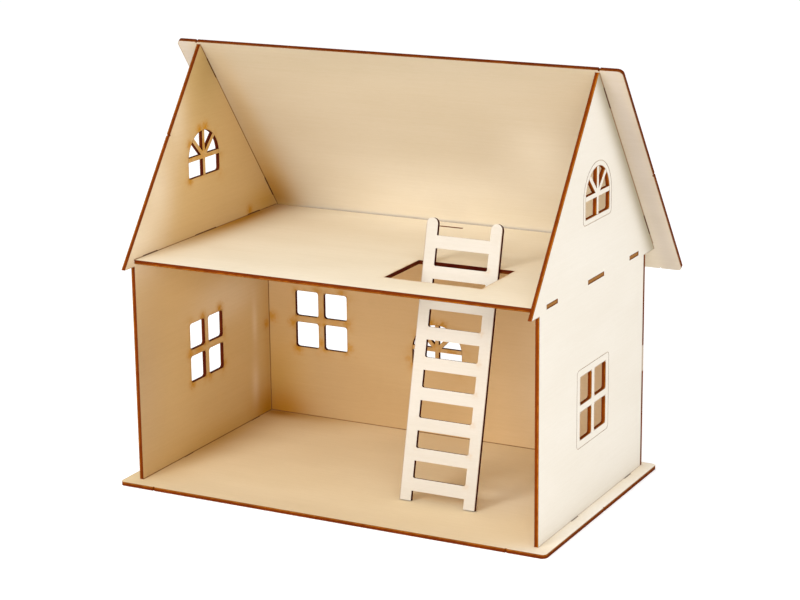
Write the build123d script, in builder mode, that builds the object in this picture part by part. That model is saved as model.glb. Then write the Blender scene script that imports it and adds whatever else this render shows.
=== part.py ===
"""Flat-pack wooden doll's house: seven laser-cut plywood pieces that slot together, open at the front.

Frame: millimetres, +Z up, +Y towards the back of the house, +X to the right seen from the front.
The origin is the centre of the base plate's underside, which is what the house stands on.
"""

from build123d import *
from math import atan2, cos, degrees, hypot, radians, sin, tan
import os

# Plywood and the way it is cut
PLY = 3.0                # thickness of every sheet
FIT = 0.1                # gap on each side of a tab in its slot
SLOT_SLACK = 0.8         # extra width of a slot on the side away from the room
NICK_WIDTH = 1.4         # small break in an edge, where the piece was held in its sheet
NICK_DEPTH = 0.9
NICK_X = 145.0           # of the base's nicks, from its middle
GABLE_NICK = 0.41        # place of the left gable's nick, as a share of the way down its front slope
ENGRAVE_WIDTH = 0.5      # engraved outline round each window
ENGRAVE_DEPTH = 0.25
ENGRAVE_CORNER = 3.5

# Base plate
BASE_WIDTH = 350.0
BASE_DEPTH = 211.0
SIDE_MARGIN = 10.5       # base left showing beside the walls
FRONT_MARGIN = 11.5
BACK_MARGIN = 5.5
SHEET_CORNER = 4.0       # corner radius of the base and the roof

# Walls
OUTER_X = BASE_WIDTH / 2 - SIDE_MARGIN
INNER_X = OUTER_X - PLY
FRONT_Y = -BASE_DEPTH / 2 + FRONT_MARGIN
BACK_Y = BASE_DEPTH / 2 - BACK_MARGIN
SHOULDER_Z = 168.7       # underside of the gable's overhanging shoulders
RIDGE_Y = 6.0            # the ridge stands a little behind the middle of the base
EAVE_REACH = 112.8       # from the ridge to the tip of each shoulder
APEX_Z = 319.5
BASE_TAB = 12.0          # width of a tab into the base
BASE_TAB_REACH = PLY - 0.2
GABLE_TAB_Y = (-30.9, 70.5)
BACK_TAB_X = (-125.0, 125.0)
FINGER_Z = 88.4          # middle of the gable's finger through the back wall
FINGER_HEIGHT = 20.3

# Attic floor
FLOOR_Z = 170.9          # underside
FLOOR_BACK_Y = 113.0
FLOOR_TABS = ((-72.7, 18.7), (4.9, 29.2), (77.4, 17.5))   # middle and length of each side tab
FLOOR_TAB_REACH = PLY - 0.6
FLOOR_SLOT_GAP = 0.4     # daylight over a side tab in its slot
FLOOR_SLOT_PLAY = 0.2    # and at each end of it
TOP_TAB = 28.0           # back wall's tab up into the attic floor
HATCH_X = (29.0, 105.9)
HATCH_Y = (-61.0, -5.8)
HATCH_CORNER = 1.0

# Roof panel: one sheet on the back slope. Slope positions are measured down from the apex
ROOF_WIDTH = 364.0
ROOF_TOP = -2.3
ROOF_BOTTOM = 211.3
ROOF_TABS = (25.0, 160.4)
ROOF_TAB = 20.0
ROOF_TAB_REACH = PLY - 0.2
ROOF_SLOT_PLAY = 0.4     # gap beside each tab in the roof's slots
ROOF_NICK_X = OUTER_X
SLOPE_LENGTH = hypot(EAVE_REACH, APEX_Z - SHOULDER_Z)
SLOPE_ANGLE = degrees(atan2(APEX_Z - SHOULDER_Z, EAVE_REACH))

# Windows
PANE = 21.0
PANE_CORNER = 2.3
BAR = 5.2                # glazing bar between the square panes
WINDOW_BORDER = 5.8      # from the panes to the engraved outline
GABLE_WINDOW = ((FRONT_Y + BACK_Y - PLY) / 2, 82.7)
BACK_WINDOW = (-112.6, 84.4)
FAN_RADIUS = 21.8
FAN_BAR = 3.3
FAN_RAY = 3.3            # width of the three rays
FAN_PANE_HEIGHT = 13.1   # square panes under the fan
FAN_CORNER = 2.3         # of the lower panes' outer bottom corners
FAN_BORDER = 4.0
GABLE_FAN = (RIDGE_Y, 233.5)     # middle of the bar that the rays stand on
BACK_FAN = (-8.2, 73.3)

# Ladder
LADDER_WIDTH = 60.8
LADDER_LENGTH = 207.9
LADDER_X = 64.2
LADDER_LEAN = 13.6       # degrees from upright
STILE = 9.1
RUNG = 9.4
RUNG_GAP = 12.9
RUNG_COUNT = 9
FOOT = 7.5               # stile below the lowest rung
LADDER_CORNER = 1.4      # of the two lower corners of each gap
STILE_TOP_RADIUS = STILE / 2 - 0.05
REST_GAP = 0.1           # between the ladder and what it rests on

RIGHT_FACE = Plane(origin=(INNER_X, 0, 0), x_dir=(0, 1, 0), z_dir=(1, 0, 0))
LEFT_FACE = Plane(origin=(-OUTER_X, 0, 0), x_dir=(0, 1, 0), z_dir=(1, 0, 0))
BACK_FACE = Plane(origin=(0, BACK_Y, 0), x_dir=(1, 0, 0), z_dir=(0, -1, 0))
ROOF_FACE = Plane(
    origin=(0, RIDGE_Y, APEX_Z),
    x_dir=(1, 0, 0),
    z_dir=(0, sin(radians(SLOPE_ANGLE)), cos(radians(SLOPE_ANGLE))),
)


def four_panes():
    """The four square panes of a window, about its middle."""
    with BuildSketch() as panes:
        with GridLocations(PANE + BAR, PANE + BAR, 2, 2):
            RectangleRounded(PANE, PANE, PANE_CORNER)
    return panes.sketch


def fan_panes():
    """An arched window about the hub of its rays: four panes between them and two below."""
    pane_width = FAN_RADIUS - FAN_BAR / 2
    with BuildSketch() as panes:
        with Locations((0, -FAN_BAR / 2)):
            Circle(FAN_RADIUS)
        with Locations((0, FAN_BAR / 2)):
            Rectangle(
                2 * FAN_RADIUS, 2 * FAN_RADIUS, align=(Align.CENTER, Align.MAX), mode=Mode.SUBTRACT
            )
        for angle in (45, 90, 135):
            Rectangle(
                FAN_RADIUS, FAN_RAY, rotation=angle, align=(Align.MIN, Align.CENTER), mode=Mode.SUBTRACT
            )
        for side in (-1, 1):
            middle = (side * (FAN_BAR / 2 + pane_width / 2), -FAN_BAR / 2 - FAN_PANE_HEIGHT / 2)
            with Locations(middle):
                Rectangle(pane_width, FAN_PANE_HEIGHT)
        lowest = vertices().group_by(Axis.Y)[0].sort_by(Axis.X)
        fillet([lowest[0], lowest[-1]], FAN_CORNER)
    return panes.sketch


def square_outline():
    """The engraved line round a four-pane window."""
    size = 2 * PANE + BAR + 2 * WINDOW_BORDER
    with BuildSketch() as line:
        RectangleRounded(size, size, ENGRAVE_CORNER)
        inner = size - 2 * ENGRAVE_WIDTH
        RectangleRounded(inner, inner, ENGRAVE_CORNER - ENGRAVE_WIDTH, mode=Mode.SUBTRACT)
    return line.sketch


def arched_outline():
    """The engraved line round a fan window: an arch on straight sides, rounded below."""
    outer = FAN_RADIUS + FAN_BORDER
    drop = FAN_PANE_HEIGHT + FAN_BORDER
    with BuildSketch() as line:
        for inset, mode in ((0, Mode.ADD), (ENGRAVE_WIDTH, Mode.SUBTRACT)):
            with BuildSketch(mode=Mode.PRIVATE) as arch:
                with Locations((0, -FAN_BAR / 2)):
                    Circle(outer - inset)
                    Rectangle(
                        2 * (outer - inset), 2 * outer, align=(Align.CENTER, Align.MAX), mode=Mode.SUBTRACT
                    )
                    Rectangle(2 * (outer - inset), drop - inset, align=(Align.CENTER, Align.MAX))
                fillet(arch.vertices().group_by(Axis.Y)[0], ENGRAVE_CORNER - inset)
            add(arch.sketch, mode=mode)
    return line.sketch


def slope_point(down):
    """The point on the gable's back slope that far below the apex, as (y, z)."""
    part = down / SLOPE_LENGTH
    return (RIDGE_Y + EAVE_REACH * part, APEX_Z + (SHOULDER_Z - APEX_Z) * part)


def gable_outline():
    """A gable seen from outside: a wall, shoulders that overhang it, and a pointed top."""
    with BuildSketch() as outline:
        with BuildLine():
            Polyline(
                (FRONT_Y, PLY),
                (BACK_Y - PLY, PLY),
                (BACK_Y - PLY, SHOULDER_Z),
                (RIDGE_Y + EAVE_REACH, SHOULDER_Z),
                (RIDGE_Y, APEX_Z),
                (RIDGE_Y - EAVE_REACH, SHOULDER_Z),
                (FRONT_Y, SHOULDER_Z),
                close=True,
            )
        make_face()
        for middle in GABLE_TAB_Y:
            with Locations((middle, PLY)):
                Rectangle(BASE_TAB, BASE_TAB_REACH, align=(Align.CENTER, Align.MAX))
        with Locations((BACK_Y - PLY, FINGER_Z)):
            Rectangle(PLY, FINGER_HEIGHT, align=(Align.MIN, Align.CENTER))
        for down in ROOF_TABS:
            with Locations(slope_point(down)):
                Rectangle(ROOF_TAB, 2 * ROOF_TAB_REACH, rotation=-SLOPE_ANGLE)
        for middle, length in FLOOR_TABS:
            with Locations((middle, FLOOR_Z)):
                Rectangle(
                    length + 2 * FLOOR_SLOT_PLAY,
                    PLY + FLOOR_SLOT_GAP,
                    align=(Align.CENTER, Align.MIN),
                    mode=Mode.SUBTRACT,
                )
        with Locations(GABLE_WINDOW):
            add(four_panes(), mode=Mode.SUBTRACT)
        with Locations(GABLE_FAN):
            add(fan_panes(), mode=Mode.SUBTRACT)
    return outline.sketch


def edge_nicks(width, depth, across):
    """Breaks in a sheet's edges: two along each long edge and one in the middle of each end."""
    with Locations(*[(side * across, end * depth / 2) for side in (-1, 1) for end in (-1, 1)]):
        Rectangle(NICK_WIDTH, 2 * NICK_DEPTH, mode=Mode.SUBTRACT)
    with Locations((-width / 2, 0), (width / 2, 0)):
        Rectangle(2 * NICK_DEPTH, NICK_WIDTH, mode=Mode.SUBTRACT)


def ladder_gap(width):
    """A gap between two rungs: square corners above, rounded ones below."""
    with BuildSketch() as gap:
        Rectangle(width, RUNG_GAP)
        fillet(gap.vertices().group_by(Axis.Y)[0], LADDER_CORNER)
    return gap.sketch


# Base plate: slots for the tabs of both gables and of the back wall
slot_length = BASE_TAB + 2 * FIT
slot_width = PLY + FIT + SLOT_SLACK
with BuildPart() as base_plate:
    with BuildSketch(Plane.XY):
        RectangleRounded(BASE_WIDTH, BASE_DEPTH, SHEET_CORNER)
        edge_nicks(BASE_WIDTH, BASE_DEPTH, NICK_X)
        for side in (-1, 1):
            with Locations(*[(side * (INNER_X - FIT + slot_width / 2), y) for y in GABLE_TAB_Y]):
                Rectangle(slot_width, slot_length, mode=Mode.SUBTRACT)
        with Locations(*[(x, BACK_Y - PLY - FIT + slot_width / 2) for x in BACK_TAB_X]):
            Rectangle(slot_length, slot_width, mode=Mode.SUBTRACT)
    extrude(amount=PLY)
base_plate.part.label = "base_plate"

# Gables: the same outline on both sides, with the windows' borders engraved on the outer face.
# The left one has a nick in its front slope.
with BuildPart() as right_gable_wall:
    with BuildSketch(RIGHT_FACE):
        add(gable_outline())
    extrude(amount=PLY)
    with BuildSketch(RIGHT_FACE.offset(PLY)):
        with Locations(GABLE_WINDOW):
            add(square_outline())
        with Locations(GABLE_FAN):
            add(arched_outline())
    extrude(amount=-ENGRAVE_DEPTH, mode=Mode.SUBTRACT)
right_gable_wall.part.label = "right_gable_wall"

with BuildPart() as left_gable_wall:
    with BuildSketch(LEFT_FACE):
        add(gable_outline())
        nick_y = RIDGE_Y - EAVE_REACH * GABLE_NICK
        with Locations((nick_y, APEX_Z - (APEX_Z - SHOULDER_Z) * GABLE_NICK)):
            Rectangle(NICK_WIDTH, 2 * NICK_DEPTH, rotation=SLOPE_ANGLE, mode=Mode.SUBTRACT)
    extrude(amount=PLY)
    with BuildSketch(LEFT_FACE):
        with Locations(GABLE_WINDOW):
            add(square_outline())
        with Locations(GABLE_FAN):
            add(arched_outline())
    extrude(amount=ENGRAVE_DEPTH, mode=Mode.SUBTRACT)
left_gable_wall.part.label = "left_gable_wall"

# Back wall: as wide as the house, notched at each end for the gable's finger, narrower at the very top
with BuildPart() as back_wall:
    with BuildSketch(BACK_FACE):
        with Locations((0, PLY)):
            Rectangle(2 * OUTER_X, SHOULDER_Z - PLY - FIT, align=(Align.CENTER, Align.MIN))
            Rectangle(2 * (INNER_X - FIT), FLOOR_Z - PLY, align=(Align.CENTER, Align.MIN))
        with Locations(*[(x, PLY) for x in BACK_TAB_X]):
            Rectangle(BASE_TAB, BASE_TAB_REACH, align=(Align.CENTER, Align.MAX))
        with Locations((0, FLOOR_Z)):
            Rectangle(TOP_TAB, PLY - FIT, align=(Align.CENTER, Align.MIN))
        with Locations((-OUTER_X, FINGER_Z), (OUTER_X, FINGER_Z)):
            Rectangle(2 * (PLY + FIT), FINGER_HEIGHT + 2 * FIT, mode=Mode.SUBTRACT)
        with Locations(BACK_WINDOW):
            add(four_panes(), mode=Mode.SUBTRACT)
        with Locations(BACK_FAN):
            add(fan_panes(), mode=Mode.SUBTRACT)
    extrude(amount=PLY)
    with BuildSketch(BACK_FACE):
        with Locations(BACK_WINDOW):
            add(square_outline())
        with Locations(BACK_FAN):
            add(arched_outline())
    extrude(amount=ENGRAVE_DEPTH, mode=Mode.SUBTRACT)
back_wall.part.label = "back_wall"

# Attic floor: three tabs on each side, a hatch for the ladder and a slot for the back wall's top tab
with BuildPart() as attic_floor:
    with BuildSketch(Plane.XY.offset(FLOOR_Z)):
        with Locations((0, (FRONT_Y + FLOOR_BACK_Y) / 2)):
            Rectangle(2 * (INNER_X - FIT), FLOOR_BACK_Y - FRONT_Y)
        for middle, length in FLOOR_TABS:
            with Locations((0, middle)):
                Rectangle(2 * (INNER_X + FLOOR_TAB_REACH), length)
        with Locations((sum(HATCH_X) / 2, sum(HATCH_Y) / 2)):
            RectangleRounded(
                HATCH_X[1] - HATCH_X[0], HATCH_Y[1] - HATCH_Y[0], HATCH_CORNER, mode=Mode.SUBTRACT
            )
        with Locations((0, BACK_Y - PLY / 2)):
            Rectangle(TOP_TAB + 2 * FIT, PLY + 2 * FIT, mode=Mode.SUBTRACT)
    extrude(amount=PLY)
attic_floor.part.label = "attic_floor"

# Roof panel: lies on the gables' back slopes, overhangs all round, and is slotted for their tabs
with BuildPart() as roof_panel:
    with BuildSketch(ROOF_FACE):
        with Locations((0, (ROOF_TOP + ROOF_BOTTOM) / 2)):
            RectangleRounded(ROOF_WIDTH, ROOF_BOTTOM - ROOF_TOP, SHEET_CORNER)
            edge_nicks(ROOF_WIDTH, ROOF_BOTTOM - ROOF_TOP, ROOF_NICK_X)
        for side in (-1, 1):
            with Locations(*[(side * (INNER_X + PLY / 2), down) for down in ROOF_TABS]):
                Rectangle(PLY + 2 * ROOF_SLOT_PLAY, ROOF_TAB + 2 * ROOF_SLOT_PLAY, mode=Mode.SUBTRACT)
    extrude(amount=PLY)
roof_panel.part.label = "roof_panel"

# Ladder: one flat sheet with nine rungs, leaning through the hatch with its heels on the base
lean = radians(LADDER_LEAN)
ladder_rise = FLOOR_Z - REST_GAP
ladder_heel_y = HATCH_Y[1] - REST_GAP / cos(lean) - ladder_rise * tan(lean)
LADDER_BACK = Plane(
    origin=(LADDER_X, ladder_heel_y, PLY + REST_GAP),
    x_dir=(1, 0, 0),
    z_dir=(0, -cos(lean), sin(lean)),
)
rung_pitch = RUNG + RUNG_GAP
opening = LADDER_WIDTH - 2 * STILE
lowest_gap_z = FOOT + RUNG + RUNG_GAP / 2
top_rung_z = FOOT + RUNG_COUNT * rung_pitch - RUNG_GAP
with BuildPart() as ladder:
    with BuildSketch(LADDER_BACK):
        Rectangle(LADDER_WIDTH, LADDER_LENGTH, align=(Align.CENTER, Align.MIN))
        with Locations(*[(0, lowest_gap_z + i * rung_pitch) for i in range(RUNG_COUNT - 1)]):
            add(ladder_gap(opening), mode=Mode.SUBTRACT)
        Rectangle(opening, FOOT, align=(Align.CENTER, Align.MIN), mode=Mode.SUBTRACT)
        with Locations((0, top_rung_z)):
            Rectangle(
                opening, LADDER_LENGTH - top_rung_z, align=(Align.CENTER, Align.MIN), mode=Mode.SUBTRACT
            )
        stile_tops = vertices().group_by(Axis.Y)[-1]
        fillet(stile_tops, STILE_TOP_RADIUS)
    extrude(amount=PLY)
ladder.part.label = "ladder"

os.makedirs("parts", exist_ok=True)
for piece in (base_plate, left_gable_wall, right_gable_wall, back_wall, attic_floor, roof_panel, ladder):
    export_step(piece.part, f"parts/{piece.part.label}.step")
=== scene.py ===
"""Looks of the flat-pack wooden doll's house: pale plywood with scorched cut edges, in a white studio."""

import math

import bpy
from mathutils import Matrix, Vector


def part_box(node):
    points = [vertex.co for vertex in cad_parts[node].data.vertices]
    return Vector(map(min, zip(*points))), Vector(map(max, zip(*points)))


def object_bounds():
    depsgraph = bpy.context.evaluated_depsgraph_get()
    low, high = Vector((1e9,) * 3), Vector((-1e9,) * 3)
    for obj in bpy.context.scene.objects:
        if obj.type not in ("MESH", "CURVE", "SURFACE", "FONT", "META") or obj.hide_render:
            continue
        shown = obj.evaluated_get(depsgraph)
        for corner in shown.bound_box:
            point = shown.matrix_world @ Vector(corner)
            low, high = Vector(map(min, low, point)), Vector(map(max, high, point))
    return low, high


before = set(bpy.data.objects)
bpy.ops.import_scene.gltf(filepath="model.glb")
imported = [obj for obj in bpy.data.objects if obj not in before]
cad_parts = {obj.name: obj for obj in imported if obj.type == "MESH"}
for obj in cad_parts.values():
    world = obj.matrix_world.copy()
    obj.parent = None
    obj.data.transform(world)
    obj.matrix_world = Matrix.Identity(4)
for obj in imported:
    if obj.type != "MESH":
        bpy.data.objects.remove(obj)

cad_low, cad_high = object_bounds()

MM = 0.001               # lengths in the materials are millimetres

# Where the sheets and the cuts in them are, in millimetres in the frame
PLY = 3.0
INNER_X = 161.5          # the gables' inner faces
OUTER_X = 164.5
WALL_FRONT_Y = -94.0
WALL_BACK_Y = 97.0       # the back wall's inner face
SHOULDER_Z = 168.7
RIDGE_Y = 6.0
EAVE_REACH = 112.8
APEX_Z = 319.5
SLOPE_LENGTH = math.hypot(EAVE_REACH, APEX_Z - SHOULDER_Z)
FLOOR_Z = 170.9
FLOOR_TOP_Z = FLOOR_Z + PLY
FLOOR_BACK_Y = 113.0
FLOOR_TABS = ((-72.7, 18.7), (4.9, 29.2), (77.4, 17.5))   # middle and length of each
ROOF_TABS = (25.0, 160.4)                                 # down the slope from the ridge
ROOF_TAB = 20.0
BASE_TABS = (-30.9, 70.5)
BASE_TAB = 12.0
SQUARE_PANE = 21.0
SQUARE_BAR = 5.2
FAN_RADIUS = 21.8
FAN_BAR = 3.3
FAN_PANE_HEIGHT = 13.1
GABLE_WINDOW = (1.5, 82.7)
GABLE_FAN = (6.0, 233.5)
BACK_WINDOW = (-112.6, 84.4)
BACK_FAN = (-8.2, 73.3)
HATCH_X = (29.0, 105.9)
HATCH_Y = (-61.0, -5.8)
LADDER_HEEL_Y = -47.2
LADDER_LEAN = math.radians(13.6)
LADDER_GAP_X = (42.9, 85.5)
LADDER_GAPS = 8
LADDER_FIRST_GAP = 16.9  # from the heels up to the lowest gap between rungs
LADDER_PITCH = 22.3

# Colours, linear: faces of the sheets
# Inner faces seen in the rooms: partly their own tone, partly painted shade and warm bounce light
OUTER_VENEER = (0.735, 0.685, 0.605)
BASE_UNDERSIDE = (0.74, 0.58, 0.40)
BASE_TOP = (0.80, 0.66, 0.44)
LEFT_GABLE_INSIDE = (0.59, 0.405, 0.19)
RIGHT_GABLE_INSIDE = (0.76, 0.58, 0.36)
BACK_WALL_INSIDE = (0.66, 0.46, 0.245)
ATTIC_UNDERSIDE = (0.74, 0.57, 0.38)
ATTIC_TOP = (0.78, 0.69, 0.54)
ROOF_INSIDE = (0.51, 0.42, 0.30)
LADDER_BACK = (0.78, 0.64, 0.45)
LADDER_VENEER = (0.57, 0.52, 0.455)

# Their local tints, all painted light and shade
# Painted light: paler patches where more light falls
PAINTED_LIGHT = (0.90, 0.83, 0.70)
# Painted light on the base outside the right wall
MARGIN_PAINTED_LIGHT = (0.95, 0.90, 0.84)
# Painted shade under the roof's overhangs
OVERHANG_PAINTED_SHADE = (0.50, 0.43, 0.37)
# Painted warm shade along creases between sheets, deeper and redder in the corners
WARM_PAINTED_SHADE = (0.49, 0.26, 0.018)
DEEP_WARM_PAINTED_SHADE = (0.42, 0.19, 0.002)
RED_PAINTED_SHADE = (0.36, 0.145, 0.015)
# Painted shade where less light falls: the base's front, under the apex, the left room's front, the back
# wall's lower left and the ridge
BASE_FRONT_PAINTED_SHADE = (0.65, 0.515, 0.335)
APEX_PAINTED_SHADE = (0.40, 0.275, 0.105)
LEFT_WALL_PAINTED_SHADE = (0.47, 0.32, 0.175)
BACK_WALL_PAINTED_SHADE = (0.47, 0.31, 0.15)
RIDGE_PAINTED_SHADE = (0.38, 0.31, 0.215)
# Painted shadow of the attic floor on the ladder
LADDER_PAINTED_SHADOW = (0.50, 0.455, 0.40)
SHADE = (0.37, 0.32, 0.22)

# Scorch marks, lines and cut edges
AMBER = (0.50, 0.225, 0.012)
SEAM_BROWN = (0.22, 0.10, 0.03)
TAB_BROWN = (0.09, 0.025, 0.012)
ENGRAVED = (0.60, 0.47, 0.33)
CORE = (0.165, 0.028, 0.001)
GOLDEN = (0.37, 0.12, 0.008)
CHARRED = (0.075, 0.010, 0.001)
CHARRED_DEEP = (0.045, 0.003, 0.002)
TAB_END = (0.34, 0.16, 0.045)

# Grain: the length and width of its marks, and their share of the contrast
CLOUDS = (95.0, 42.0, 0.36)
STREAKS = (70.0, 1.9, 0.26)
FIBRES = (7.0, 0.32, 0.38)

# How far the palest grain is over a face's colour, and the share of each channel that is left in the deepest
OUTER_GRAIN = (1.03, (0.965, 0.95, 0.92))
INNER_GRAIN = (1.04, (0.94, 0.915, 0.86))
LIGHTEST = 0.96          # no part of a face reflects more

# Scorch marks on the faces, in millimetres
LICK_REACH = 1.6         # amber beside a pane, which fades to about a third over this distance
CORNER_REACH = 3.2       # the same round its corners
UNMARKED = 12.0          # a distance from a corner at which almost nothing is left of its mark
STAIN_FRAY = 6.0         # how far a stain's rim strays

# Dark lines on the faces: the distances, in millimetres, at which they begin and are full, and their strength
CUT_LINE = (0.62, 0.20)
PANE_LINE = (0.55, 0.15)
CUT_STRENGTH = 0.55
SEAM_LINE = (0.75, 0.35)
SEAM_STRENGTH = 0.72
TAB_LINE = (1.15, 0.65)
TAB_STRENGTH = 0.85
SHADE_SPREAD = 110.0     # soft shade beside an outer seam, in square millimetres
SHADE_STRENGTH = 0.92

# Layers of a cut edge, in millimetres from the sheet's middle: where they begin and are full
GOLDEN_LAYER = (0.3, 1.1)
BURNT_RIM = (1.05, 1.42)
RIM_STRENGTH = 0.8
TAB_END_BAND = (1.35, 0.85)
TAB_END_STRENGTH = 0.85
PANE_EDGE = (2.0, 0.5)   # distance from a pane within which a cut edge is that pane's
ENGRAVING = (0.05, 0.12)  # depth under a face from which on it is engraved

SHEEN = 0.02             # plywood hardly shines


class Value:
    """A number that varies over a surface. Arithmetic on it adds Math nodes to its material."""

    def __init__(self, graph, socket):
        self.graph = graph
        self.socket = socket

    def __add__(self, other):
        return self.graph.math("ADD", self, other)

    def __sub__(self, other):
        return self.graph.math("SUBTRACT", self, other)

    def __rsub__(self, other):
        return self.graph.math("SUBTRACT", other, self)

    def __mul__(self, other):
        return self.graph.math("MULTIPLY", self, other)

    def __truediv__(self, other):
        return self.graph.math("DIVIDE", self, other)

    def __abs__(self):
        return self.graph.math("ABSOLUTE", self)


class Graph:
    """A material's nodes, added one value at a time."""

    def __init__(self, name):
        self.material = bpy.data.materials.new(name)
        self.material.use_nodes = True
        self.tree = self.material.node_tree
        self.tree.nodes.clear()
        coordinates = self.tree.nodes.new("ShaderNodeTexCoord")
        self.place = coordinates.outputs["Object"]
        self.normal = coordinates.outputs["Normal"]

    def feed(self, socket, value):
        """Links a value to a socket, or sets the socket to a constant."""
        value = value.socket if isinstance(value, Value) else value
        if isinstance(value, bpy.types.NodeSocket):
            self.tree.links.new(value, socket)
        else:
            socket.default_value = value

    def math(self, operation, *values):
        node = self.tree.nodes.new("ShaderNodeMath")
        node.operation = operation
        for socket, value in zip(node.inputs, values):
            self.feed(socket, value)
        return Value(self, node.outputs[0])

    def dot(self, vector, direction):
        node = self.tree.nodes.new("ShaderNodeVectorMath")
        node.operation = "DOT_PRODUCT"
        self.feed(node.inputs[0], vector)
        self.feed(node.inputs[1], tuple(direction))
        return Value(self, node.outputs["Value"])

    def least(self, first, *others):
        for other in others:
            first = self.math("MINIMUM", first, other)
        return first

    def most(self, first, *others):
        for other in others:
            first = self.math("MAXIMUM", first, other)
        return first

    def fade(self, value, none, full):
        """0 where value is none, 1 where it is full, and smooth in between."""
        node = self.tree.nodes.new("ShaderNodeMapRange")
        node.interpolation_type = "SMOOTHSTEP"
        self.feed(node.inputs["Value"], value)
        self.feed(node.inputs["From Min"], none)
        self.feed(node.inputs["From Max"], full)
        return Value(self, node.outputs["Result"])

    def noise(self, u, v, w, detail=2.0, roughness=0.5):
        """Noise about 0.5, with features about one unit of u, v and w long."""
        joined = self.tree.nodes.new("ShaderNodeCombineXYZ")
        for socket, value in zip(joined.inputs, (u, v, w)):
            self.feed(socket, value)
        node = self.tree.nodes.new("ShaderNodeTexNoise")
        self.feed(node.inputs["Vector"], joined.outputs[0])
        self.feed(node.inputs["Scale"], 1.0)
        self.feed(node.inputs["Detail"], detail)
        self.feed(node.inputs["Roughness"], roughness)
        return Value(self, node.outputs["Fac"])

    def mix(self, amount, first, second):
        """The first colour where amount is 0 and the second where it is 1."""
        node = self.tree.nodes.new("ShaderNodeMix")
        node.data_type = "RGBA"
        self.feed(node.inputs[0], amount)
        for socket, colour in ((node.inputs[6], first), (node.inputs[7], second)):
            self.feed(socket, (*colour, 1.0) if isinstance(colour, tuple) else colour)
        return Value(self, node.outputs[2])

    def box(self, u, v, middle, half_u, half_v):
        """Distance outside a rectangle, and below zero inside it."""
        out_u = abs(u - middle[0]) - half_u
        out_v = abs(v - middle[1]) - half_v
        past_u = self.most(out_u, 0.0)
        past_v = self.most(out_v, 0.0)
        outside = self.math("SQRT", past_u * past_u + past_v * past_v)
        return outside + self.least(self.most(out_u, out_v), 0.0)

    def reach(self, u, v, point):
        """Distance from a point."""
        off_u = u - point[0]
        off_v = v - point[1]
        return self.math("SQRT", off_u * off_u + off_v * off_v)

    def stroke(self, u, v, first, second):
        """Distance from a straight line between two points."""
        length = math.dist(first, second)
        way_u = (second[0] - first[0]) / length
        way_v = (second[1] - first[1]) / length
        off_u = u - first[0]
        off_v = v - first[1]
        beside = abs(off_u * way_v - off_v * way_u)
        forward = off_u * way_u + off_v * way_v
        return beside + self.most(forward * -1.0, forward - length, 0.0)

    def spot(self, u, v, middle, size_u, size_v):
        """A soft round mark, 1 in its middle."""
        off_u = (u - middle[0]) / size_u
        off_v = (v - middle[1]) / size_v
        return self.math("EXPONENT", (off_u * off_u + off_v * off_v) * -1.0)


class Sheet:
    """A flat sheet's own directions, read off its mesh: across, along, and through to its outer face."""

    def __init__(self, node, across, outward):
        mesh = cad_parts[node].data
        areas = {}
        for face in mesh.polygons:
            key = tuple(round(c, 3) for c in face.normal)
            areas[key] = areas.get(key, 0.0) + face.area
        through = Vector(max(areas, key=areas.get))
        self.through = (through if through.dot(Vector(outward)) > 0 else -through).normalized()
        self.across = Vector(across)
        self.along = self.through.cross(self.across)
        self.inner_face = min(v.co.dot(self.through) for v in mesh.vertices) / MM

    def at(self, x, y, z):
        """A point of the frame, in millimetres, as the sheet's (across, along)."""
        point = Vector((x, y, z))
        return (point.dot(self.across), point.dot(self.along))


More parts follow.
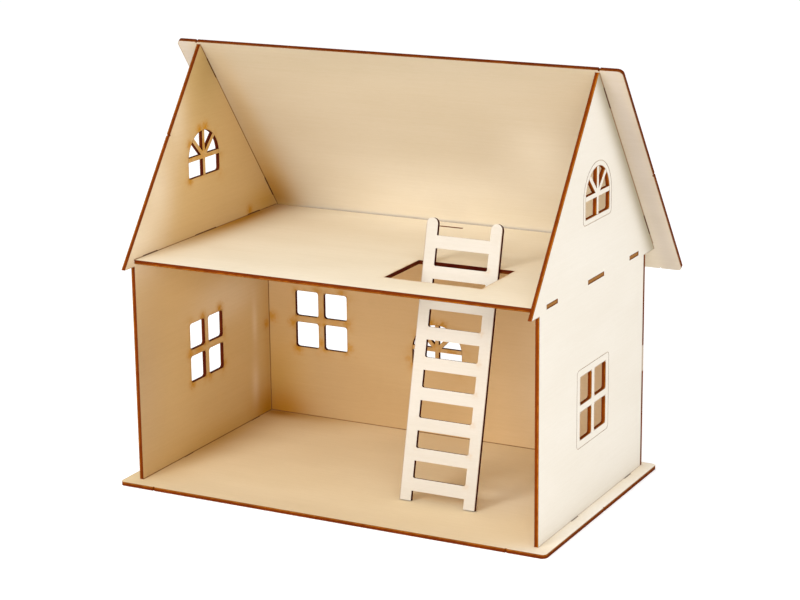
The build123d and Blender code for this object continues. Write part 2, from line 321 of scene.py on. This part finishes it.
class Plywood(Graph):
    """A sheet's material: veneer, painted light and shade, marks and lines on it, and cut edges, added in the
    order of these methods.

    u and v run across and along the sheet, and depth runs from its inner face to its outer one. Places are
    points of the frame. All are in millimetres.
    """

    def __init__(self, name, sheet, seed, outer, inner):
        super().__init__(name)
        self.sheet = sheet
        self.seed = seed
        self.u = self.dot(self.place, sheet.across / MM)
        self.v = self.dot(self.place, sheet.along / MM)
        self.depth = self.dot(self.place, sheet.through / MM) - sheet.inner_face
        facing = self.dot(self.normal, sheet.through)
        self.on_edge = self.fade(abs(facing), 0.75, 0.55)
        self.on_inner = self.fade(facing, 0.0, -0.5)
        self.on_outer = self.fade(facing, 0.0, 0.5)

        clouds = self.pattern(*CLOUDS[:2], 0.0)
        self.streaks = self.pattern(*STREAKS[:2], 3.0, detail=3.0, roughness=0.6)
        self.fibres = self.pattern(*FIBRES[:2], 7.0, roughness=0.65)
        self.grain = (
            self.fade(clouds, 0.3, 0.7) * CLOUDS[2]
            + self.fade(self.streaks, 0.25, 0.75) * STREAKS[2]
            + self.fade(self.fibres, 0.25, 0.75) * FIBRES[2]
        )
        self.strokes = self.noise(
            self.u / 0.5, self.v / 0.5, self.depth * 0.12 + (seed + 23.0), detail=1.0,
        )
        outside = self.veneer(outer, *OUTER_GRAIN)
        inside = self.veneer(inner, *INNER_GRAIN)
        self.face = self.mix(self.on_inner, outside, inside)

    def pattern(self, size_u, size_v, offset, detail=2.0, roughness=0.5):
        """Noise with marks of a given size, which differs between sheets and between offsets."""
        return self.noise(self.u / size_u, self.v / size_v, self.seed + offset, detail, roughness)

    def veneer(self, colour, light, dark):
        """A colour with grain, between light times the colour and, by channel, dark times the colour."""
        pale = tuple(min(c * light, LIGHTEST) for c in colour)
        deep = tuple(c * k for c, k in zip(colour, dark))
        return self.mix(self.grain, pale, deep)

    def mark(self, amounts, strength, colour):
        """Mixes a colour into the faces, as far as the greatest of the amounts at each point."""
        self.face = self.mix(self.most(*amounts) * strength, self.face, colour)

    def paint_light_and_shade(self, painted_light_and_shade):
        """Paints light and shade on the inner face: each is a place, its size across and along, its strength
        and its colour.
        """
        for place, size_u, size_v, strength, colour in painted_light_and_shade:
            amount = self.spot(self.u, self.v, self.sheet.at(*place), size_u, size_v) * strength
            self.face = self.mix(amount * self.on_inner, self.face, self.veneer(colour, *INNER_GRAIN))

    def scorch(self, windows, stains):
        """Amber on the inner face: beside panes, at their corners, and in stains (place, size, strength)."""
        licked = self.fade(self.pattern(9.0, 9.0, 11.0), 0.40, 0.66)
        marks = []
        for pane, corner in windows:
            near = self.math("EXPONENT", self.most(pane, 0.0) / -LICK_REACH)
            marks.append(near * (licked * 0.45 + 0.22))
            marks.append(self.math("EXPONENT", corner / -CORNER_REACH) * (licked * 0.80 + 0.15))
        frayed_u = self.u + (self.pattern(2.5, 2.5, 41.0) - 0.5) * STAIN_FRAY
        frayed_v = self.v + (self.pattern(2.5, 2.5, 47.0) - 0.5) * STAIN_FRAY
        for place, size, strength in stains:
            marks.append(self.spot(frayed_u, frayed_v, self.sheet.at(*place), size, size) * strength)
        self.mark(marks, self.on_inner, AMBER)

    def outline_cuts(self, inset, windows):
        """Thin dark lines on both faces, round the panes and along the rim. inset is the distance from it."""
        cuts = [self.fade(inset, *CUT_LINE)]
        cuts += [self.fade(abs(pane), *PANE_LINE) for pane, _ in windows]
        self.mark(cuts, CUT_STRENGTH, SEAM_BROWN)

    def draw_joints(self, side, seams, tabs):
        """Thin lines on one face where other sheets meet it, and darker ones along their tabs."""
        away = [self.stroke(self.u, self.v, self.sheet.at(*a), self.sheet.at(*b)) for a, b in seams]
        self.mark([self.fade(d, *SEAM_LINE) for d in away], side * SEAM_STRENGTH, SEAM_BROWN)
        if tabs:
            away = [self.stroke(self.u, self.v, self.sheet.at(*a), self.sheet.at(*b)) for a, b in tabs]
            self.mark([self.fade(d, *TAB_LINE) for d in away], side * TAB_STRENGTH, TAB_BROWN)

    def shade_outside(self, seam):
        """A soft shade on the outer face beside the edge of a sheet that overhangs it."""
        away = self.stroke(self.u, self.v, *(self.sheet.at(*end) for end in seam))
        shade = self.math("EXPONENT", away * away / -SHADE_SPREAD)
        self.mark([shade], self.on_outer * SHADE_STRENGTH, SHADE)

    def cut_edges(self, char, golden, windows=(), reveal_char=0.5, tab_ends=None):
        """The cut edges: brown layers, darker towards both faces, charred unevenly.

        char is how dark they are, 0 to 1, and reveal_char how much darker the panes' are. golden is 1 if the
        brighter layer is next to the outer face, and -1 if the inner. tab_ends is how far from the middle of
        the house the paler ends of the sheet's tabs are.
        """
        soot = self.noise(self.u / 16.0, self.v / 16.0, self.depth * 0.15 + (self.seed + 19.0), detail=3.0)
        wobble = (self.pattern(5.0, 5.0, 29.0) - 0.5) * 1.5
        from_middle = self.depth - PLY / 2
        layers = self.mix(self.fade(from_middle * golden + wobble, *GOLDEN_LAYER), CORE, GOLDEN)
        layers = self.mix(self.fade(abs(from_middle), *BURNT_RIM) * RIM_STRENGTH, layers, CHARRED)
        darkness = self.fade(soot + self.strokes * 0.12, 0.25, 0.85) * 0.34 + (1.3 * char - 0.30)
        if windows:
            reveals = [self.fade(pane, *PANE_EDGE) for pane, _ in windows]
            darkness += self.most(*reveals) * reveal_char
        self.cut = self.mix(self.most(self.least(darkness, 1.0), 0.0), layers, CHARRED_DEEP)
        if tab_ends:
            end = self.fade(abs(self.u), tab_ends - 0.4, tab_ends) * self.fade(abs(from_middle), *TAB_END_BAND)
            self.cut = self.mix(end * TAB_END_STRENGTH, self.cut, TAB_END)

    def finish(self):
        """Joins the faces, the engraved lines and the cut edges in one shader, and returns the material."""
        engraved = self.least(self.fade(self.depth, *ENGRAVING), self.fade(PLY - self.depth, *ENGRAVING))
        face = self.mix(engraved, self.face, ENGRAVED)
        shader = self.tree.nodes.new("ShaderNodeBsdfPrincipled")
        self.feed(shader.inputs["Base Color"], self.mix(self.on_edge, face, self.cut))
        self.feed(shader.inputs["Roughness"], self.grain * 0.14 + 0.56 + self.on_edge * 0.12)
        shader.inputs["Specular IOR Level"].default_value = SHEEN
        bump = self.tree.nodes.new("ShaderNodeBump")
        bump.inputs["Strength"].default_value = 0.35
        bump.inputs["Distance"].default_value = 0.05 * MM
        height = self.streaks * 0.5 + self.fibres * 0.6 + self.on_edge * self.strokes * 1.4
        self.feed(bump.inputs["Height"], height)
        self.feed(shader.inputs["Normal"], bump.outputs[0])
        output = self.tree.nodes.new("ShaderNodeOutputMaterial")
        self.feed(output.inputs["Surface"], shader.outputs[0])
        return self.material


def square_window(wood, middle):
    """Distances from a window's four square panes: from the nearest pane, and from its nearest corner."""
    half = SQUARE_PANE / 2
    step = (SQUARE_PANE + SQUARE_BAR) / 2
    folded_u = abs(wood.u - middle[0])
    folded_v = abs(wood.v - middle[1])
    pane = wood.box(folded_u, folded_v, (step, step), half, half)
    corner = wood.reach(abs(folded_u - step), abs(folded_v - step), (half, half))
    return pane, corner


def fan_window(wood, middle, up):
    """Distances from a fan window's outer shape, an arch on two panes, and from its nearest corner.

    up is 1, or -1 if v runs down.
    """
    off_u = wood.u - middle[0]
    off_v = (wood.v - middle[1]) * up
    arch_v = -FAN_BAR / 2
    sill_v = arch_v - FAN_PANE_HEIGHT
    disc = wood.reach(off_u, off_v, (0.0, arch_v)) - FAN_RADIUS
    half_disc = wood.most(disc, off_v * -1.0 - FAN_BAR)
    panes = wood.box(off_u, off_v, (0.0, sill_v / 2), FAN_RADIUS, -sill_v / 2)
    folded_u = abs(off_u)
    diagonal = FAN_RADIUS * math.sqrt(0.5)
    corner = wood.reach(folded_u, off_v, (0.0, FAN_RADIUS + arch_v))
    for point in ((diagonal, diagonal + arch_v), (FAN_RADIUS, arch_v), (FAN_RADIUS, sill_v)):
        corner = wood.least(corner, wood.reach(folded_u, off_v, point))
    return wood.least(half_disc, panes), corner


def gable_inset(wood, up):
    """Distance in from a gable's outline. up is 1, or -1 if v runs down; u runs along the frame's Y."""
    z = wood.v * up
    normal_y = (APEX_Z - SHOULDER_Z) / SLOPE_LENGTH
    normal_z = EAVE_REACH / SLOPE_LENGTH
    roof = (APEX_Z - z) * normal_z - abs(wood.u - RIDGE_Y) * normal_y
    wall = wood.least(wood.u - WALL_FRONT_Y, WALL_BACK_Y - wood.u, z - PLY, roof)
    return wood.most(wall, wood.least(z - SHOULDER_Z, roof))


def rectangle_inset(wood, first, second):
    """Distance in from the outline of a rectangular sheet between two points of the frame."""
    corners = zip(wood.sheet.at(*first), wood.sheet.at(*second))
    (low_u, high_u), (low_v, high_v) = (sorted(pair) for pair in corners)
    return wood.least(wood.u - low_u, high_u - wood.u, wood.v - low_v, high_v - wood.v)


def slope_point(down):
    """The point on the gables' back slope that far below the ridge, as (y, z)."""
    part = down / SLOPE_LENGTH
    return (RIDGE_Y + EAVE_REACH * part, APEX_Z + (SHOULDER_Z - APEX_Z) * part)


def dress(node, wood):
    """Puts a finished material on a CAD node in place of the plain one it came with."""
    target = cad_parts[node]
    target.data.materials.clear()
    target.data.materials.append(wood.finish())


def dress_base():
    sheet = Sheet("base_plate", (1, 0, 0), (0, 0, -1))
    low, high = (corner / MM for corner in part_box("base_plate"))
    seams = [((-INNER_X, WALL_BACK_Y, 0), (INNER_X, WALL_BACK_Y, 0))]
    tabs = []
    for x in (-INNER_X, INNER_X):
        seams.append(((x, WALL_FRONT_Y, 0), (x, WALL_BACK_Y, 0)))
        tabs += [((x, y - BASE_TAB / 2, 0), (x, y + BASE_TAB / 2, 0)) for y in BASE_TABS]
    wood = Plywood("base_plywood", sheet, 2.0, BASE_UNDERSIDE, BASE_TOP)
    # Painted light beside the right wall and behind the ladder's foot, painted shade along the front, and
    # painted warm shade along the left and back walls, deepest in their corner
    wood.paint_light_and_shade([
        ((179, 0, 0), 20.0, 160.0, 1.0, MARGIN_PAINTED_LIGHT),
        ((165, -110, 0), 30.0, 12.0, 0.9, MARGIN_PAINTED_LIGHT),
        ((0, -116, 0), 250.0, 40.0, 0.8, BASE_FRONT_PAINTED_SHADE),
        ((105, -10, 0), 28.0, 36.0, 0.4, PAINTED_LIGHT),
        ((-166, 10, 0), 22.0, 90.0, 0.75, WARM_PAINTED_SHADE),
        ((-130, 100, 0), 46.0, 20.0, 0.6, WARM_PAINTED_SHADE),
        ((-152, 93, 0), 20.0, 9.0, 0.8, DEEP_WARM_PAINTED_SHADE),
    ])
    wood.outline_cuts(rectangle_inset(wood, low, high), ())
    wood.draw_joints(wood.on_inner, seams, tabs)
    wood.cut_edges(0.32, -1)
    dress("base_plate", wood)


def dress_gable(node, side, seed, inner, char, reveal_char, painted_light_and_shade, stains):
    """A gable: side is 1 for the right one and -1 for the left, and the painted light and shade and the stains
    leave out the x.
    """
    sheet = Sheet(node, (0, 1, 0), (side, 0, 0))
    up = round(sheet.along.z)
    x = side * INNER_X
    seams = [
        ((x, WALL_FRONT_Y, PLY), (x, WALL_BACK_Y, PLY)),
        ((x, WALL_BACK_Y, PLY), (x, WALL_BACK_Y, FLOOR_Z)),
        ((x, WALL_FRONT_Y, FLOOR_TOP_Z), (x, FLOOR_BACK_Y, FLOOR_TOP_Z)),
    ]
    floor_tabs = [((x, y - n / 2, FLOOR_TOP_Z), (x, y + n / 2, FLOOR_TOP_Z)) for y, n in FLOOR_TABS]
    roof_seam = ((x, RIDGE_Y, APEX_Z), (x, RIDGE_Y + EAVE_REACH, SHOULDER_Z))
    half = ROOF_TAB / 2
    roof_tabs = [((x, *slope_point(d - half)), (x, *slope_point(d + half))) for d in ROOF_TABS]
    wood = Plywood(node + "_plywood", sheet, seed, OUTER_VENEER, inner)
    windows = [
        square_window(wood, sheet.at(x, *GABLE_WINDOW)),
        fan_window(wood, sheet.at(x, *GABLE_FAN), up),
    ]
    # Painted light and shade on the inner face
    wood.paint_light_and_shade([((x, *place), *paint_light_and_shade) for place, *paint_light_and_shade in painted_light_and_shade])
    wood.scorch(windows, [((x, *place), *stain) for place, *stain in stains])
    wood.outline_cuts(gable_inset(wood, up), windows)
    wood.draw_joints(wood.on_inner, seams + [roof_seam], floor_tabs + roof_tabs)
    wood.shade_outside(roof_seam)
    wood.draw_joints(wood.on_outer, [roof_seam], roof_tabs)
    wood.cut_edges(char, 1, windows, reveal_char)
    dress(node, wood)


def dress_left_gable():
    dress_gable(
        "left_gable_wall", -1, 21.0, LEFT_GABLE_INSIDE, 0.31, 0.5,
        # Painted light in the attic's front, mid-room and in two thin highlight streaks; painted shade under
        # the apex and at the room's front; painted warm shade along the floor and the back wall, deepest in
        # the corner
        painted_light_and_shade=[
            ((-88, 185), 30.0, 30.0, 0.55, PAINTED_LIGHT),
            ((-60, 225), 22.0, 36.0, 0.45, PAINTED_LIGHT),
            ((-30, 270), 16.0, 30.0, 0.35, PAINTED_LIGHT),
            ((12, 298), 26.0, 36.0, 0.7, APEX_PAINTED_SHADE),
            ((-94, 80), 34.0, 78.0, 0.9, LEFT_WALL_PAINTED_SHADE),
            ((35, 116), 46.0, 20.0, 0.35, PAINTED_LIGHT),
            ((74, 84), 4.0, 18.0, 0.25, PAINTED_LIGHT),
            ((73, 29), 5.5, 20.0, 0.32, PAINTED_LIGHT),
            ((20, 3), 90.0, 16.0, 0.45, WARM_PAINTED_SHADE),
            ((98, 180), 30.0, 14.0, 0.6, WARM_PAINTED_SHADE),
            ((94, 50), 9.0, 60.0, 0.3, WARM_PAINTED_SHADE),
            ((92, 4), 26.0, 22.0, 0.9, DEEP_WARM_PAINTED_SHADE),
        ],
        stains=[
            ((1.0, 254.8), 4.2, 0.95),       # round the fan window
            ((9.0, 255.2), 4.6, 0.95),
            ((-13.2, 245.6), 3.8, 0.85),
            ((-14.4, 217.9), 4.0, 0.85),
            ((1.5, 234.0), 5.5, 0.60),
            ((-3.2, 107.6), 4.2, 0.90),      # round the square window
            ((21.5, 108.2), 4.6, 0.95),
            ((-22.5, 82.4), 4.4, 0.90),
            ((-20.4, 58.5), 4.4, 0.90),
            ((4.6, 58.5), 4.0, 0.80),
            ((25.6, 62.5), 3.8, 0.80),
            ((-10.0, 82.7), 8.0, 0.70),
            ((27.0, 90.0), 3.0, 0.45),
            ((71.5, 177.0), 4.4, 0.90),      # at a tab of the attic floor
            ((92.6, 77.8), 4.0, 0.75),       # at the finger through the back wall
        ],
    )


def dress_right_gable():
    dress_gable(
        "right_gable_wall", 1, 31.0, RIGHT_GABLE_INSIDE, 0.16, 0.15,
        # Painted warm shade towards the back of the room and painted light in the attic
        painted_light_and_shade=[((60, 60), 50.0, 50.0, 0.5, WARM_PAINTED_SHADE), ((-60, 190), 40.0, 40.0, 0.6, PAINTED_LIGHT)],
        stains=[
            ((-2.0, 110.5), 4.0, 0.65),
            ((24.0, 109.0), 4.0, 0.55),
            ((12.0, 257.0), 4.5, 0.70),
            ((-16.0, 217.0), 4.5, 0.50),
            ((70.0, 175.7), 4.5, 0.75),
        ],
    )


def dress_back_wall():
    sheet = Sheet("back_wall", (1, 0, 0), (0, 1, 0))
    y = WALL_BACK_Y
    seams = [((x, y, PLY), (x, y, FLOOR_Z)) for x in (-INNER_X, INNER_X)]
    seams.append(((-INNER_X, y, PLY), (INNER_X, y, PLY)))
    wood = Plywood("back_wall_plywood", sheet, 5.0, OUTER_VENEER, BACK_WALL_INSIDE)
    windows = [
        square_window(wood, sheet.at(BACK_WINDOW[0], 0, BACK_WINDOW[1])),
        fan_window(wood, sheet.at(BACK_FAN[0], 0, BACK_FAN[1]), round(sheet.along.z)),
    ]
    # Painted shade on the lower left, painted warm shade in the left corner, deepest at its foot, and painted
    # light on the right
    wood.paint_light_and_shade([
        ((-90, y, 20), 92.0, 76.0, 0.85, BACK_WALL_PAINTED_SHADE),
        ((-158, y, 22), 28.0, 56.0, 0.6, WARM_PAINTED_SHADE),
        ((-155, y, 3), 30.0, 18.0, 0.85, RED_PAINTED_SHADE),
        ((120, y, 60), 50.0, 70.0, 0.4, PAINTED_LIGHT),
    ])
    wood.scorch(windows, [
        ((-13.0, y, 93.6), 4.8, 0.90),       # round the fan window
        ((-3.2, y, 93.2), 4.4, 0.85),
        ((-33.0, y, 63.3), 3.6, 0.50),
        ((-159.5, y, 83.4), 5.0, 0.80),      # at the left gable's finger
        ((-148.0, y, 5.0), 12.0, 0.45),      # painted shade in the bottom corner
        ((-138.6, y, 80.6), 4.4, 0.85),      # round the square window
        ((-134.8, y, 59.4), 4.4, 0.90),
        ((-88.0, y, 64.8), 4.2, 0.80),
        ((-89.2, y, 85.0), 4.2, 0.75),
        ((-94.0, y, 109.4), 4.4, 0.75),
        ((-116.0, y, 109.2), 4.4, 0.70),
        ((-113.3, y, 66.0), 4.2, 0.75),
        ((-113.7, y, 88.8), 7.0, 0.60),
        ((-100.0, y, 84.4), 8.0, 0.45),
    ])
    wood.outline_cuts(rectangle_inset(wood, (-INNER_X, 0, PLY), (INNER_X, 0, FLOOR_Z)), windows)
    wood.draw_joints(wood.on_inner, seams, [])
    wood.cut_edges(0.40, 1, windows)
    dress("back_wall", wood)


def dress_attic_floor():
    sheet = Sheet("attic_floor", (1, 0, 0), (0, 0, -1))
    wood = Plywood("attic_floor_plywood", sheet, 9.0, ATTIC_UNDERSIDE, ATTIC_TOP)
    half = ((HATCH_X[1] - HATCH_X[0]) / 2, (HATCH_Y[1] - HATCH_Y[0]) / 2)
    hatch = wood.box(wood.u, wood.v, sheet.at(sum(HATCH_X) / 2, sum(HATCH_Y) / 2, 0), *half)
    openings = [(hatch, wood.most(hatch, 0.0) + UNMARKED)]
    # Painted light along the front and back edges, painted warm shade along the left wall
    wood.paint_light_and_shade([
        ((0, WALL_FRONT_Y, 0), 170.0, 24.0, 0.4, PAINTED_LIGHT),
        ((0, 104, 0), 120.0, 36.0, 0.85, PAINTED_LIGHT),
        ((-167, 30, 0), 22.0, 100.0, 0.8, WARM_PAINTED_SHADE),
        ((-160, 62, 0), 11.0, 64.0, 0.85, DEEP_WARM_PAINTED_SHADE),
    ])
    wood.scorch(openings, [])
    body = rectangle_inset(wood, (-INNER_X, WALL_FRONT_Y, 0), (INNER_X, FLOOR_BACK_Y, 0))
    wood.outline_cuts(body, openings)
    seams = [((x, WALL_FRONT_Y, 0), (x, FLOOR_BACK_Y, 0)) for x in (-INNER_X, INNER_X)]
    wood.draw_joints(wood.on_inner, seams, [])
    wood.cut_edges(0.34, 1, openings, tab_ends=OUTER_X - 1.0)
    dress("attic_floor", wood)


def dress_roof():
    sheet = Sheet("roof_panel", (1, 0, 0), (0, 1, 1))
    low, high = (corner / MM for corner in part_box("roof_panel"))
    foot = slope_point(SLOPE_LENGTH * (APEX_Z - FLOOR_TOP_Z) / (APEX_Z - SHOULDER_Z))
    gable_faces = (-OUTER_X, -INNER_X, INNER_X, OUTER_X)
    wood = Plywood("roof_plywood", sheet, 13.0, OUTER_VENEER, ROOF_INSIDE)
    # Painted light towards the eave and on the right, painted shade at the ridge and under both overhangs,
    # painted warm shade along the left gable
    wood.paint_light_and_shade([
        ((20, *slope_point(185)), 170.0, 70.0, 0.85, PAINTED_LIGHT),
        ((0, *slope_point(0)), 250.0, 24.0, 0.35, RIDGE_PAINTED_SHADE),
        ((-158, *slope_point(160)), 20.0, 64.0, 0.7, WARM_PAINTED_SHADE),
        ((-152, *slope_point(70)), 12.0, 60.0, 0.25, WARM_PAINTED_SHADE),
        ((-162, *slope_point(172)), 16.0, 28.0, 0.6, DEEP_WARM_PAINTED_SHADE),
        ((100, *slope_point(110)), 30.0, 46.0, 0.35, PAINTED_LIGHT),
        ((-177, *slope_point(60)), 8.0, 200.0, 0.7, OVERHANG_PAINTED_SHADE),
        ((174, *slope_point(90)), 9.0, 200.0, 0.9, OVERHANG_PAINTED_SHADE),
    ])
    wood.outline_cuts(rectangle_inset(wood, (low.x, low.y, high.z), (high.x, high.y, low.z)), ())
    wood.draw_joints(wood.on_inner, [((x, RIDGE_Y, APEX_Z), (x, *foot)) for x in gable_faces], [])
    wood.cut_edges(0.46, -1)
    dress("roof_panel", wood)


def dress_ladder():
    sheet = Sheet("ladder", (1, 0, 0), (0, 1, 0))
    low, high = (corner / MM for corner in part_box("ladder"))
    stains = []
    for gap in range(LADDER_GAPS):
        up = LADDER_FIRST_GAP + gap * LADDER_PITCH
        place = (LADDER_HEEL_Y + up * math.sin(LADDER_LEAN), PLY + up * math.cos(LADDER_LEAN))
        stains.append(((LADDER_GAP_X[1] + 0.6, *place), 2.2, 0.22))
        stains.append(((LADDER_GAP_X[0] - 0.3, *place), 1.6, 0.10))
    wood = Plywood("ladder_plywood", sheet, 17.0, LADDER_BACK, LADDER_VENEER)
    # Painted shadow of the attic floor on the top of the ladder's right stile
    wood.paint_light_and_shade([((94, -10, 148), 14.0, 20.0, 0.6, LADDER_PAINTED_SHADOW)])
    wood.scorch([], stains)
    wood.outline_cuts(rectangle_inset(wood, low, high), ())
    wood.cut_edges(0.94, 1)
    dress("ladder", wood)


def make_floor():
    """A plain pale studio floor, which glows a little to stay white."""
    bpy.ops.mesh.primitive_plane_add(size=16.0, location=(0, 0, cad_low.z))
    floor = bpy.context.object
    floor.name = "studio_floor"
    material = bpy.data.materials.new("studio_white")
    material.use_nodes = True
    shader = material.node_tree.nodes["Principled BSDF"]
    shader.inputs["Base Color"].default_value = (0.93, 0.93, 0.93, 1.0)
    shader.inputs["Roughness"].default_value = 0.9
    shader.inputs["Emission Color"].default_value = (1.0, 1.0, 1.0, 1.0)
    shader.inputs["Emission Strength"].default_value = 0.25
    floor.data.materials.append(material)


def area_light(name, position, target, size, power):
    light = bpy.data.lights.new(name, "AREA")
    light.shape = "DISK"
    light.size = size
    light.energy = power
    lamp = bpy.data.objects.new(name, light)
    lamp.location = position
    lamp.rotation_euler = (target - position).to_track_quat("-Z", "Y").to_euler()
    bpy.context.scene.collection.objects.link(lamp)


def light_studio():
    """A white dome, a broad key from front left, a low fill from front right, and a weak one above right."""
    world = bpy.data.worlds.new("studio_dome")
    bpy.context.scene.world = world
    world.use_nodes = True
    background = world.node_tree.nodes["Background"]
    background.inputs["Color"].default_value = (1, 1, 1, 1)
    background.inputs["Strength"].default_value = 0.80
    house = (cad_low + cad_high) / 2
    area_light("key", house + Vector((-0.61, -1.88, 1.05)), house, size=0.9, power=22.0)
    area_light("front_fill", house + Vector((0.96, -1.90, 0.47)), house, size=1.2, power=20.0)
    area_light("right_fill", house + Vector((1.2, -0.5, 1.7)), house, size=1.2, power=5.0)


def place_camera():
    """The camera stands to the front right of the house, a little above it, at portrait distance."""
    azimuth = math.radians(27.49)
    elevation = math.radians(15.07)
    roll = math.radians(-0.62)
    distance = 1.6925
    target = Vector((0.00986, 0.0, 0.14))
    level = math.cos(elevation)
    back = Vector((math.sin(azimuth) * level, -math.cos(azimuth) * level, math.sin(elevation)))
    data = bpy.data.cameras.new("camera")
    data.sensor_width = 36.0
    data.lens = 102.62
    camera = bpy.data.objects.new("camera", data)
    turn = (-back).to_track_quat("-Z", "Y").to_matrix() @ Matrix.Rotation(roll, 3, "Z")
    camera.matrix_world = Matrix.Translation(target + back * distance) @ turn.to_4x4()
    bpy.context.scene.collection.objects.link(camera)
    bpy.context.scene.camera = camera


place_camera()
light_studio()
make_floor()
dress_base()
dress_left_gable()
dress_right_gable()
dress_back_wall()
dress_attic_floor()
dress_roof()
dress_ladder()
bpy.context.scene.view_settings.view_transform = "Standard"
